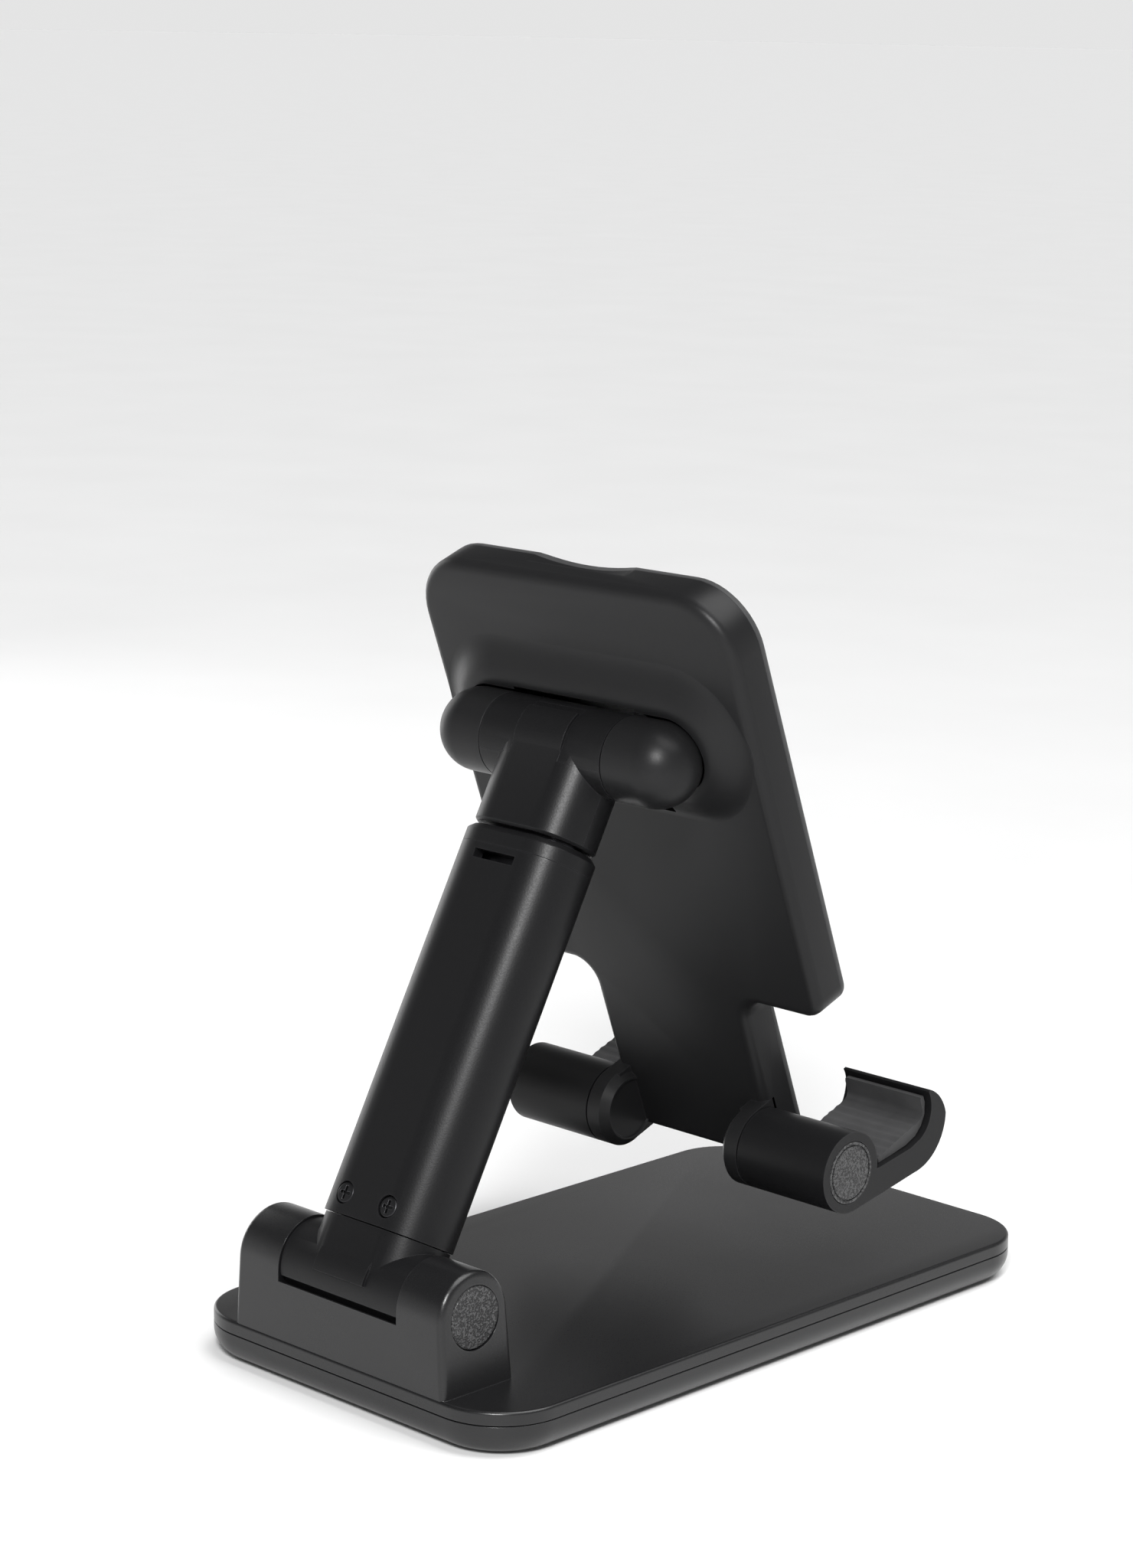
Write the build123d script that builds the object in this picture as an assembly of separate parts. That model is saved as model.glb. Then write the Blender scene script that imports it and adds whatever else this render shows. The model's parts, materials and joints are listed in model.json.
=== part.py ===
from build123d import *

import os
from math import cos, radians, sin

# Folding phone stand: weighted base, leaning arm with a sliding mast, friction-hinged plate, two fold-up hooks.
# Millimetres. X runs along the hinge axes, -Y is the side the screen faces, +Z is up.
# The origin is the middle of the base's underside. Right is +X, as seen by a person facing the screen.

# Base
BASE_WIDTH = 64.4
BASE_DEPTH = 116.6
BASE_CORNER = 10.5
BASE_TOP = 6.75
SEAM_Z = 4.85
SHELL_BOTTOM = 0.15
SHELL_ROUND = 3.6
PAD_RECESS = 0.45
FLOOR_TOP = 2.4
WALL = 1.8
SEAM_GAP = 0.15
FOOT_INSET = 4.0
BASE_SCREW_X = 22.0
BASE_SCREW_Y = 45.0

# Lower hinge, between two ears of the base's top shell
LOWER_Y = 51.7
LOWER_Z = 16.9
EAR_INNER = 12.0
EAR_OUTER = 21.4
EAR_OUTER_TOP = 20.3
EAR_RADIUS = 6.4
EAR_FRONT = 44.6
REAR_WALL_TOP = 15.15
CAP_RADIUS = 4.4

# Arm: a sleeve of obround section, leaning forward from the lower hinge
ARM_LEAN = 28.1
ARM_LENGTH = 79.8
SLEEVE_WIDTH = 21.2
SLEEVE_DEPTH = 13.0
SLEEVE_WALL = 1.9
SLEEVE_FROM = 7.1
SLEEVE_TO = 62.4
COLLAR_TO = 65.2
INSERT_TO = 14.0
BARREL_HALF = 11.85
FOOT_BARREL = 5.5
FOOT_CREST = 6.1
CREST_DROP = 8.0
CREST_GAP = 0.2
TAB_RADIUS = 6.55
TAB_HALF = 5.0
SLEEVE_SCREW_X = 4.3
SLEEVE_SCREW_Z = 10.05

# Mast and head, which slide along the arm
MAST_WIDTH = 15.2
MAST_DEPTH = 7.2
MAST_WALL = 1.2
MAST_FROM = 18.0
MAST_TO = 74.0
STOP_FROM = 17.2
STOP_TO = 22.0
HEAD_FROM = 65.7
HEAD_WIDTH = 19.8
HEAD_DEPTH = 12.4
HEAD_BARREL = 6.2
COVER_FACE = 0.6
HEAD_SCREW_X = 3.6
HEAD_SCREW_Z = 70.0
HEAD_TAB_HALF = 4.7

# Plate, in its own frame: Y is behind the middle of the phone, Z is above the phone's lower edge
PLATE_LEAN = 20.93
AXIS_UP = 68.8
AXIS_BACK = 17.6
PLATE_HALF = 30.5
PLATE_TOP = 92.4
PLATE_WIDE_FROM = 25.4
PLATE_LOW_CORNER = 3.2
PLATE_INNER_CORNER = 3.75
PLATE_CORNER = 9.5
TONGUE_HALF = 15.1
TONGUE_FROM = -3.5
PAD_FRONT = 5.0
SHELL_FRONT = 6.0
PLATE_BACK = 11.6
MOUND_TOP = 14.5
EAR_BALL = 6.2
EAR_BALL_X = 17.3
BALL_FLAT = 0.1
RELIEF_DEPTH = 6.6
TAB_SWEEP = 6.95
RELIEF_FROM = 57.0

# Hooks, on a knuckle at each side of the plate's tongue
KNUCKLE_Y = 14.2
KNUCKLE_Z = 1.6
KNUCKLE_RADIUS = 6.05
LUG_INNER = 11.5
HOOK_INNER = 15.4
HOOK_OUTER = 31.9
HOOK_CAP = 4.6
HOOK_FRONT = -7.9
PIN_FROM = 12.4

# Fits
SHAFT_RADIUS = 2.0
PIN_RADIUS = 1.6
SMALL_SHANK = 0.85
SMALL_HEAD_HOLE = 1.65
WASHER_RADIUS = 4.2
WASHER_THICKNESS = 0.45
RUNNING_FIT = 0.05
LOOSE_FIT = 0.1
TRAVEL_GAP = 0.35

ARM_FRAME = Location((0, LOWER_Y, LOWER_Z), (ARM_LEAN, 0, 0))
LEAN = radians(ARM_LEAN)
TILT = radians(PLATE_LEAN)
UPPER_Y = LOWER_Y - ARM_LENGTH * sin(LEAN)
UPPER_Z = LOWER_Z + ARM_LENGTH * cos(LEAN)
PLATE_Y = UPPER_Y - AXIS_UP * sin(TILT) - AXIS_BACK * cos(TILT)
PLATE_Z = UPPER_Z - AXIS_UP * cos(TILT) + AXIS_BACK * sin(TILT)
PLATE_FRAME = Location((0, PLATE_Y, PLATE_Z), (-PLATE_LEAN, 0, 0))


def block(x, y, z):
    """A box given by its low and high value along each axis."""
    size = [high - low for low, high in (x, y, z)]
    middle = [(high + low) / 2 for low, high in (x, y, z)]
    return Pos(*middle) * Box(*size)


def rod(radius, low, high, y=0.0, z=0.0):
    """A round bar along X."""
    return Pos((low + high) / 2, y, z) * Rot(0, 90, 0) * Cylinder(radius, high - low)


def post(radius, low, high, x=0.0, y=0.0):
    """A round bar along Z."""
    return Pos(x, y, (low + high) / 2) * Cylinder(radius, high - low)


def dowel(radius, low, high, x=0.0, z=0.0):
    """A round bar along Y."""
    return Pos(x, (low + high) / 2, z) * Rot(90, 0, 0) * Cylinder(radius, high - low)


def rounded_slab(inset, low, high):
    """The base's outline, moved inwards, between two heights."""
    outline = RectangleRounded(BASE_WIDTH - 2 * inset, BASE_DEPTH - 2 * inset, BASE_CORNER - inset)
    return extrude(Pos(0, 0, low) * outline, high - low)


def obround(width, depth, low, high):
    """A bar of obround section along Z, rounded at its two X ends."""
    return extrude(Pos(0, 0, low) * SlotOverall(width, depth), high - low)


def both_sides(shape):
    """A right-hand piece and its mirror image on the left."""
    return [shape, mirror(shape, Plane.YZ)]


def base_screw_places():
    """Where the four base screws stand."""
    return [(x, y) for x in (-BASE_SCREW_X, BASE_SCREW_X) for y in (-BASE_SCREW_Y, BASE_SCREW_Y - 6)]


def hinge_ears():
    """The two ears at the base's rear edge, with a saddle and a low rear wall between them."""
    rear = LOWER_Y + EAR_RADIUS
    sides = Polygon(
        (rear, BASE_TOP - 1),
        (rear, LOWER_Z),
        (LOWER_Y - EAR_RADIUS, LOWER_Z),
        (EAR_FRONT, BASE_TOP - 1),
        align=None,
    )
    outline = sides + Pos(LOWER_Y, LOWER_Z) * Circle(EAR_RADIUS)
    ears = Pos(-EAR_OUTER, 0, 0) * extrude(Plane.YZ * outline, 2 * EAR_OUTER)
    top = LOWER_Z + EAR_RADIUS
    draft = Polygon(
        (-EAR_OUTER, BASE_TOP - 1),
        (EAR_OUTER, BASE_TOP - 1),
        (EAR_OUTER_TOP, top),
        (-EAR_OUTER_TOP, top),
        align=None,
    )
    ears &= extrude(Plane.XZ.offset(-BASE_DEPTH / 2) * draft, 20)
    outer = ears.faces().sort_by(Axis.X)
    rims = outer[0].edges() + outer[-1].edges()
    ears = fillet([e for e in rims if e.center().Z > BASE_TOP], 1.0)
    front_floor = LOWER_Z - SLEEVE_DEPTH / 2 - TRAVEL_GAP
    ears -= block((-EAR_INNER, EAR_INNER), (EAR_FRONT - 1, LOWER_Y), (front_floor, top + 1))
    ears -= block((-EAR_INNER, EAR_INNER), (LOWER_Y - 1, rear + 1), (REAR_WALL_TOP, top + 1))
    ears -= rod(FOOT_CREST + CREST_GAP, -EAR_INNER, EAR_INNER, LOWER_Y, LOWER_Z)
    return ears


def base_top_shell():
    """The flat lid of the base, with its locating lip, screw posts and hinge ears."""
    lid = rounded_slab(0, SEAM_Z, BASE_TOP)
    lid = fillet(lid.faces().sort_by(Axis.Z)[-1].edges(), 0.5)
    lip = rounded_slab(WALL + LOOSE_FIT, SEAM_Z - 1.3, SEAM_Z) - rounded_slab(WALL + 1.3, 0, SEAM_Z)
    lid = lid + lip + hinge_ears()
    for x, y in base_screw_places():
        lid += post(2.4, FLOOR_TOP, SEAM_Z + 0.1, x, y)
        lid -= post(1.1, 0, SEAM_Z + 0.8, x, y)
    outer = EAR_OUTER + 1
    lid -= rod(SHAFT_RADIUS, -outer, outer, LOWER_Y, LOWER_Z)
    for side in both_sides(rod(CAP_RADIUS + LOOSE_FIT, EAR_OUTER - 3.6, outer, LOWER_Y, LOWER_Z)):
        lid -= side
    for side in both_sides(rod(WASHER_RADIUS + LOOSE_FIT, EAR_INNER - 0.1, EAR_INNER + 1.0, LOWER_Y, LOWER_Z)):
        lid -= side
    return lid


def base_bottom_shell():
    """The tray under the lid, rounded in towards the table, with a recess for the foot pad."""
    tray = rounded_slab(0, SHELL_BOTTOM, SEAM_Z - SEAM_GAP)
    tray = fillet(tray.faces().sort_by(Axis.Z)[0].edges(), SHELL_ROUND)
    tray -= rounded_slab(WALL, FLOOR_TOP, SEAM_Z)
    tray -= rounded_slab(FOOT_INSET, 0, SHELL_BOTTOM + PAD_RECESS)
    for x, y in base_screw_places():
        tray -= post(1.2, 0, FLOOR_TOP + 1, x, y)
        tray -= post(2.3, 0, SHELL_BOTTOM + PAD_RECESS + 0.85, x, y)
    return tray


def counterweight_plate():
    """The steel slab inside the base."""
    slab = rounded_slab(WALL + 1.6, FLOOR_TOP, SEAM_Z - 0.3)
    for x, y in base_screw_places():
        slab -= post(2.8, 0, SEAM_Z, x, y)
    return slab


def base_foot_pad():
    """The silicone sheet that the base stands on."""
    return rounded_slab(FOOT_INSET + LOOSE_FIT, 0, SHELL_BOTTOM + PAD_RECESS - 0.05)


def cross_recess(half_length, half_width, low, high):
    """The cross-shaped recess of a screw head, along Z."""
    one = block((-half_length, half_length), (-half_width, half_width), (low, high))
    return one + Rot(0, 0, 90) * one


def screw(head_radius, head_height, shank_radius, length):
    """A cross-head screw with its head's top at Z = 0, pointing down."""
    head = Pos(0, 0, -head_height / 2) * Cylinder(head_radius, head_height)
    head = fillet(head.edges().sort_by(Axis.Z)[-1:], head_height * 0.35)
    head += Pos(0, 0, -length / 2 - head_height / 2) * Cylinder(shank_radius, length - head_height)
    return head - cross_recess(head_radius * 0.62, head_radius * 0.14, -head_height * 0.65, 1)


def base_screws():
    """Four screws that close the base from below."""
    turned = Rot(180, 0, 0) * screw(2.2, 0.75, 1.1, 4.2)
    return [Pos(x, y, SHELL_BOTTOM + PAD_RECESS + 0.05) * turned for x, y in base_screw_places()]


def hinge_washers():
    """Two friction washers at each end of a hinge barrel, on the hinge axis."""
    washers = []
    for low in (BARREL_HALF + LOOSE_FIT, BARREL_HALF + 2 * LOOSE_FIT + WASHER_THICKNESS):
        washers += both_sides(rod(WASHER_RADIUS, low, low + WASHER_THICKNESS) - rod(SHAFT_RADIUS, 0, 20))
    return washers


def hinge_caps():
    """The round end caps that close the lower hinge."""
    face = EAR_OUTER - (EAR_OUTER - EAR_OUTER_TOP) * (LOWER_Z - BASE_TOP) / (LOWER_Z + EAR_RADIUS - BASE_TOP)
    cap = rod(CAP_RADIUS, EAR_OUTER - 1.9, face + 0.1)
    cap = fillet(cap.edges().sort_by(Axis.X)[-1:], 0.3)
    return both_sides(cap)


def hinge_shaft(end):
    """A steel hinge shaft with a flat head at its left end."""
    return rod(SHAFT_RADIUS, -end, end) + rod(3.4, -end, -end + 1.1)


def hinge_nut(end):
    """The hexagon nut on a hinge shaft's right end."""
    nut = Pos(end - 1.3, 0, 0) * extrude(Plane.YZ * RegularPolygon(3.6, 6), 1.1)
    return nut - rod(SHAFT_RADIUS, 0, end + 1)


def foot_barrel():
    """The foot's hinge barrel, thicker over its top than where it runs behind the rear wall."""
    upper = Rot(-ARM_LEAN - CREST_DROP, 0, 0) * block((-20, 20), (-20, 20), (0, 20))
    crest = rod(FOOT_CREST, -BARREL_HALF, BARREL_HALF) & upper
    return rod(FOOT_BARREL, -BARREL_HALF, BARREL_HALF) + crest


def arm_foot():
    """The T-shaped foot of the arm: hinge barrel, neck, and the tongue that enters the sleeve."""
    foot = foot_barrel()
    foot += obround(SLEEVE_WIDTH - 0.6, SLEEVE_DEPTH - 0.6, 1.0, SLEEVE_FROM - 0.15)
    inner = SLEEVE_WALL + LOOSE_FIT
    foot += obround(SLEEVE_WIDTH - 2 * inner, SLEEVE_DEPTH - 2 * inner, SLEEVE_FROM - 0.2, INSERT_TO)
    foot += rod(TAB_RADIUS, -TAB_HALF, TAB_HALF) & block((-6, 6), (0, 10), (-1.3, 3.0))
    foot -= rod(SHAFT_RADIUS + RUNNING_FIT, -20, 20)
    for x in (-SLEEVE_SCREW_X, SLEEVE_SCREW_X):
        foot -= dowel(SMALL_SHANK, 0, 10, x, SLEEVE_SCREW_Z)
    return foot


def arm_sleeve():
    """The outer tube of the arm, with a window near its top and two screw holes near its foot."""
    sleeve = obround(SLEEVE_WIDTH, SLEEVE_DEPTH, SLEEVE_FROM, SLEEVE_TO)
    inner = 2 * SLEEVE_WALL
    sleeve -= obround(SLEEVE_WIDTH - inner, SLEEVE_DEPTH - inner, SLEEVE_FROM - 1, SLEEVE_TO + 1)
    back = SLEEVE_DEPTH / 2
    sleeve -= block((-3.9, 3.9), (back - SLEEVE_WALL - 0.5, back + 1), (60.1, 61.4))
    for x in (-SLEEVE_SCREW_X, SLEEVE_SCREW_X):
        sleeve -= dowel(SMALL_SHANK + LOOSE_FIT, 0, back + 1, x, SLEEVE_SCREW_Z)
        sleeve -= dowel(SMALL_HEAD_HOLE, back - 1.1, back + 1, x, SLEEVE_SCREW_Z)
    return sleeve


def sleeve_screws():
    """The two screws that hold the sleeve on the foot."""
    place = Pos(0, SLEEVE_DEPTH / 2 - 0.15, SLEEVE_SCREW_Z) * Rot(-90, 0, 0)
    one = place * screw(1.55, 0.9, SMALL_SHANK, 5.0)
    return [Pos(x, 0, 0) * one for x in (-SLEEVE_SCREW_X, SLEEVE_SCREW_X)]


def sleeve_collar():
    """The bevelled ring at the top of the sleeve, which guides the mast."""
    rim = obround(SLEEVE_WIDTH, SLEEVE_DEPTH, SLEEVE_TO, COLLAR_TO)
    rim = chamfer(rim.faces().sort_by(Axis.Z)[-1].edges(), 0.8)
    slip = 2 * (SLEEVE_WALL + LOOSE_FIT)
    rim += obround(SLEEVE_WIDTH - slip, SLEEVE_DEPTH - slip, SLEEVE_TO - 0.01 - 0.2, SLEEVE_TO + 0.5)
    gap = 2 * TRAVEL_GAP
    return rim - obround(MAST_WIDTH + gap, MAST_DEPTH + gap, SLEEVE_TO - 2, COLLAR_TO + 1)


def brake_pad():
    """The felt strip on the sleeve's front inner wall that steadies the mast's stop."""
    face = -SLEEVE_DEPTH / 2 + SLEEVE_WALL
    return block((-4, 4), (face, face + 0.35), (30, 60))


def mast_tube():
    """The aluminium tube that slides in the sleeve."""
    tube = obround(MAST_WIDTH, MAST_DEPTH, MAST_FROM, MAST_TO)
    inner = 2 * MAST_WALL
    tube -= obround(MAST_WIDTH - inner, MAST_DEPTH - inner, MAST_FROM - 1, MAST_TO + 1)
    for x in (-HEAD_SCREW_X, HEAD_SCREW_X):
        tube -= dowel(SMALL_SHANK, -10, 10, x, HEAD_SCREW_Z)
    return tube


def mast_stop():
    """The shoe on the mast's lower end, which runs in the sleeve and stops under the collar."""
    slip = 2 * (SLEEVE_WALL + 0.75)
    shoe = obround(SLEEVE_WIDTH - slip, SLEEVE_DEPTH - slip, STOP_FROM, STOP_TO)
    return shoe - obround(MAST_WIDTH, MAST_DEPTH, MAST_FROM, STOP_TO + 1)


def head_body():
    """The whole head about its hinge axis: neck, barrel and the hole for the mast."""
    head = obround(HEAD_WIDTH, HEAD_DEPTH, HEAD_FROM, ARM_LENGTH)
    head = chamfer(head.faces().sort_by(Axis.Z)[0].edges(), 0.4)
    head += rod(HEAD_BARREL, -BARREL_HALF, BARREL_HALF, 0, ARM_LENGTH)
    tab = rod(HEAD_BARREL + 0.4, -HEAD_TAB_HALF, HEAD_TAB_HALF, 0, ARM_LENGTH)
    head += tab & block((-5, 5), (0, 8), (70, ARM_LENGTH + 3.7))
    head -= rod(SHAFT_RADIUS + RUNNING_FIT, -20, 20, 0, ARM_LENGTH)
    head -= obround(MAST_WIDTH, MAST_DEPTH, HEAD_FROM - 1, MAST_TO)
    for x in (-HEAD_SCREW_X, HEAD_SCREW_X):
        head -= dowel(SMALL_SHANK, -10, 4.2, x, HEAD_SCREW_Z)
        head -= dowel(SMALL_HEAD_HOLE, -10, -5.0, x, HEAD_SCREW_Z)
    return head


def cover_region():
    """The space that the head's rear cover fills."""
    shell = block((-20, 20), (COVER_FACE, 20), (HEAD_FROM - 1, 76.0))
    return shell + block((-HEAD_TAB_HALF, HEAD_TAB_HALF), (COVER_FACE + 3.4, 20), (75.0, ARM_LENGTH + 5))


def head_yoke():
    """The front half of the head, with the hinge barrel."""
    return head_body() - cover_region()


def head_cover():
    """The rear half of the head, with the tab that laps over the barrel."""
    region = cover_region()
    return head_body() & region


def head_screws():
    """The two screws that clamp the head's halves around the mast."""
    turned = Rot(90, 0, 0) * screw(1.6, 1.0, SMALL_SHANK, 10.0)
    return [Pos(x, -HEAD_DEPTH / 2 + 0.15, HEAD_SCREW_Z) * turned for x in (-HEAD_SCREW_X, HEAD_SCREW_X)]


def plate_outline():
    """The plate seen from behind: a wide top with round corners on a narrow tongue."""
    wide = Polygon(
        (-PLATE_HALF, PLATE_WIDE_FROM),
        (PLATE_HALF, PLATE_WIDE_FROM),
        (PLATE_HALF, PLATE_TOP),
        (-PLATE_HALF, PLATE_TOP),
        align=None,
    )
    corners = wide.vertices().sort_by(Axis.Y)
    wide = fillet(corners[-2:], PLATE_CORNER)
    corners = wide.vertices().sort_by(Axis.Y)
    wide = fillet(corners[:2], PLATE_LOW_CORNER)
    middle = (TONGUE_FROM + PLATE_WIDE_FROM + 5) / 2
    tongue = Pos(0, middle) * Rectangle(2 * TONGUE_HALF, PLATE_WIDE_FROM + 5 - TONGUE_FROM)
    outline = wide + tongue
    joints = [v for v in outline.vertices() if abs(abs(v.X) - TONGUE_HALF) < 0.1 and v.Y > PLATE_WIDE_FROM - 1]
    return fillet(joints, PLATE_INNER_CORNER)


def plate_slab(front, back):
    """The plate's outline between two depths."""
    return extrude(Plane.XZ.offset(-back) * plate_outline(), back - front)


def finger_notch():
    """The shallow scoop in the plate's top edge, at the front."""
    return dowel(46.0, PAD_FRONT - 1, SHELL_FRONT + 2.0, 0, PLATE_TOP + 46.0 - 1.1)


def plate_mound():
    """The low swelling that carries the hinge ears."""
    foot = Plane.XZ.offset(-PLATE_BACK + 0.4) * Pos(0, AXIS_UP) * SlotOverall(2 * PLATE_HALF - 1.5, 25.5)
    crown = Plane.XZ.offset(-MOUND_TOP) * Pos(0, AXIS_UP) * SlotOverall(51.0, 13.0)
    return loft([foot, crown])


def round_ended_rod(radius, low, high):
    """A bar on the upper hinge's axis whose right end is a ball."""
    bar = rod(radius, low, high, AXIS_BACK, AXIS_UP)
    return fillet(bar.edges().sort_by(Axis.X)[-1:], radius - BALL_FLAT)


def hinge_pocket(gap):
    """The space of the hinge barrel and its ball-ended ears, with a gap all round."""
    half = round_ended_rod(EAR_BALL + gap, 0, EAR_BALL_X + EAR_BALL + gap)
    return half + mirror(half, Plane.YZ)


def neck_relief():
    """The shallow bay between the ears that lets the head's neck lie against the plate."""
    reach = BARREL_HALF + TRAVEL_GAP
    return block((-reach, reach), (AXIS_BACK - RELIEF_DEPTH, AXIS_BACK), (RELIEF_FROM, AXIS_UP))


def ear_foot_space(gap):
    """Where a hinge ear's foot passes through the plate, on the right."""
    half = 3.0 + gap
    return block((14.0 - gap, 20.0 + gap), (SHELL_FRONT + 1.8, AXIS_BACK), (AXIS_UP - half, AXIS_UP + half))


def knuckle_lug():
    """The right-hand lug behind the tongue, which holds a hook's pin."""
    lug = rod(KNUCKLE_RADIUS, LUG_INNER, TONGUE_HALF, KNUCKLE_Y, KNUCKLE_Z)
    lug = chamfer(lug.edges().sort_by(Axis.X)[:1], 1.2)
    low = KNUCKLE_Z - KNUCKLE_RADIUS + 0.3
    lug += block((LUG_INNER + 0.6, TONGUE_HALF), (PLATE_BACK - 2, KNUCKLE_Y), (low, KNUCKLE_Z + KNUCKLE_RADIUS))
    return lug - rod(PIN_RADIUS, PIN_FROM, TONGUE_HALF + 1, KNUCKLE_Y, KNUCKLE_Z)


def plate_shell():
    """The plate itself, with its mound, hinge pocket and knuckle lugs."""
    shell = plate_slab(SHELL_FRONT, PLATE_BACK)
    back = shell.faces().sort_by(Axis.Y)[-1]
    shell = fillet(back.edges(), 1.2)
    shell += plate_mound()
    shell -= hinge_pocket(TRAVEL_GAP)
    shell -= neck_relief()
    shell -= rod(TAB_SWEEP, -BARREL_HALF, BARREL_HALF, AXIS_BACK, AXIS_UP)
    for foot, lug in zip(both_sides(ear_foot_space(LOOSE_FIT)), both_sides(knuckle_lug())):
        shell -= foot
        shell += lug
    shell -= block((-25, 25), (SHELL_FRONT - 1, SHELL_FRONT + 1.8), (AXIS_UP - 14, AXIS_UP + 14))
    return shell - finger_notch()


def plate_core():
    """The steel stiffener in the plate's front, which the hinge ears are screwed to."""
    core = block((-24.8, 24.8), (SHELL_FRONT + 0.1, SHELL_FRONT + 1.8), (AXIS_UP - 13.8, AXIS_UP + 13.8))
    for x in (-EAR_BALL_X, EAR_BALL_X):
        core -= dowel(1.2, 0, 20, x, AXIS_UP)
        core -= dowel(2.3, 0, SHELL_FRONT + 1.0, x, AXIS_UP)
    return core


def plate_screws():
    """The two screws that hold the ears on the core."""
    turned = Rot(90, 0, 0) * screw(2.2, 0.8, 1.1, 5.0)
    return [Pos(x, SHELL_FRONT + 0.15, AXIS_UP) * turned for x in (-EAR_BALL_X, EAR_BALL_X)]


def plate_pad():
    """The silicone sheet on the plate's front."""
    return plate_slab(PAD_FRONT, SHELL_FRONT) - finger_notch()


def hinge_ear():
    """The right-hand ball-ended ear of the upper hinge."""
    ear = round_ended_rod(EAR_BALL, EAR_INNER, EAR_BALL_X + EAR_BALL)
    ear += ear_foot_space(0)
    ear -= rod(SHAFT_RADIUS, 0, 18.5, AXIS_BACK, AXIS_UP)
    ear -= rod(WASHER_RADIUS + LOOSE_FIT, 0, EAR_INNER + 1.0, AXIS_BACK, AXIS_UP)
    ear -= rod(3.7, 17.0, 18.6, AXIS_BACK, AXIS_UP)
    return ear - dowel(1.1, 0, 12.0, EAR_BALL_X, AXIS_UP)


def hook_profile():
    """The hook's section: from the knuckle, under the phone, to the tip in front of it."""
    edge = Line((15.2, -4.37), (1.5, -6.67))
    edge += ThreePointArc((1.5, -6.67), (-4.3, -5.9), (HOOK_FRONT + 0.1, -1.9))
    edge += ThreePointArc((HOOK_FRONT + 0.1, -1.9), (-7.4, 1.1), (-5.7, 3.5))
    edge += Line((-5.7, 3.5), (-5.3, 3.4))
    edge += ThreePointArc((-5.3, 3.4), (-4.55, -0.3), (-1.5, -2.45))
    edge += Polyline((-1.5, -2.45), (1.0, -2.6), (8.4, -1.3), (KNUCKLE_Y, KNUCKLE_Z), (15.2, -4.37))
    return make_face(edge)


def hook_section(low, high):
    """The hook's section, drawn out between two X values."""
    return extrude(Plane.YZ.offset(low) * hook_profile(), high - low)


def hook():
    """The right-hand hook: a barrel on the knuckle's pin and a J-shaped rest."""
    plan = Pos((HOOK_INNER + HOOK_OUTER) / 2, 10) * Rectangle(HOOK_OUTER - HOOK_INNER, 2 * (10 - HOOK_FRONT))
    inner_front = plan.vertices().sort_by(Axis.Y)[:2].sort_by(Axis.X)[:1]
    plan = fillet(inner_front, PLATE_INNER_CORNER - TRAVEL_GAP)
    rest = hook_section(HOOK_INNER, HOOK_OUTER) & extrude(Pos(0, 0, -10) * plan, 20)
    barrel = rod(KNUCKLE_RADIUS, HOOK_INNER, HOOK_OUTER, KNUCKLE_Y, KNUCKLE_Z)
    whole = barrel + rest
    whole -= rod(PIN_RADIUS + RUNNING_FIT, 0, HOOK_OUTER - 2, KNUCKLE_Y, KNUCKLE_Z)
    whole -= rod(3.5, 0, HOOK_INNER + 1.0, KNUCKLE_Y, KNUCKLE_Z)
    whole -= rod(3.6, HOOK_OUTER - 4.4, HOOK_OUTER, KNUCKLE_Y, KNUCKLE_Z)
    return whole - rod(HOOK_CAP + LOOSE_FIT, HOOK_OUTER - 1.1, HOOK_OUTER + 1, KNUCKLE_Y, KNUCKLE_Z)


def hook_pad():
    """The silicone liner of the hook, which the phone's edge rests on."""
    low = HOOK_INNER + 1.0
    high = HOOK_OUTER - 1.0
    pad = block((low, high), (-4.3, 7.4), (-4, -0.45)) + block((low, high), (-5.2, -4.3), (-3, 2.6))
    pad -= hook_section(HOOK_INNER, HOOK_OUTER)
    pad -= rod(KNUCKLE_RADIUS, HOOK_INNER, HOOK_OUTER, KNUCKLE_Y, KNUCKLE_Z)
    return pad.solids().sort_by(Axis.Z)[-1]


def hook_cap():
    """The round end cap of a hook's barrel, with a ring groove."""
    cap = rod(HOOK_CAP, HOOK_OUTER - 1.1, HOOK_OUTER + 0.1, KNUCKLE_Y, KNUCKLE_Z)
    ring = rod(4.2, HOOK_OUTER - 0.15, HOOK_OUTER + 1, KNUCKLE_Y, KNUCKLE_Z)
    return cap - (ring - rod(3.95, 0, HOOK_OUTER + 2, KNUCKLE_Y, KNUCKLE_Z))


def hook_pin():
    """The steel pin that a hook turns on, pressed into the lug."""
    return rod(PIN_RADIUS, PIN_FROM, HOOK_OUTER - 2.2, KNUCKLE_Y, KNUCKLE_Z)


def hook_clip():
    """The ring that keeps the hook on its pin."""
    ring = rod(3.0, HOOK_OUTER - 3.9, HOOK_OUTER - 3.1, KNUCKLE_Y, KNUCKLE_Z)
    return ring - rod(PIN_RADIUS, 0, HOOK_OUTER, KNUCKLE_Y, KNUCKLE_Z)


def hook_washer():
    """The wave washer that gives a hook its friction, flattened to a plain ring."""
    ring = rod(3.3, HOOK_INNER - 0.1, HOOK_INNER + 0.9, KNUCKLE_Y, KNUCKLE_Z)
    return ring - rod(PIN_RADIUS + RUNNING_FIT, 0, HOOK_OUTER, KNUCKLE_Y, KNUCKLE_Z)


def write(name, shapes, frame=Location()):
    """Write one node, moved from its own frame to the stand's."""
    placed = [frame * shape for shape in (shapes if isinstance(shapes, list) else [shapes])]
    solids = [solid for shape in placed for solid in shape.solids()]
    whole = solids[0] if len(solids) == 1 else Compound(children=solids)
    export_step(whole, f"parts/{name}.step")


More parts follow.
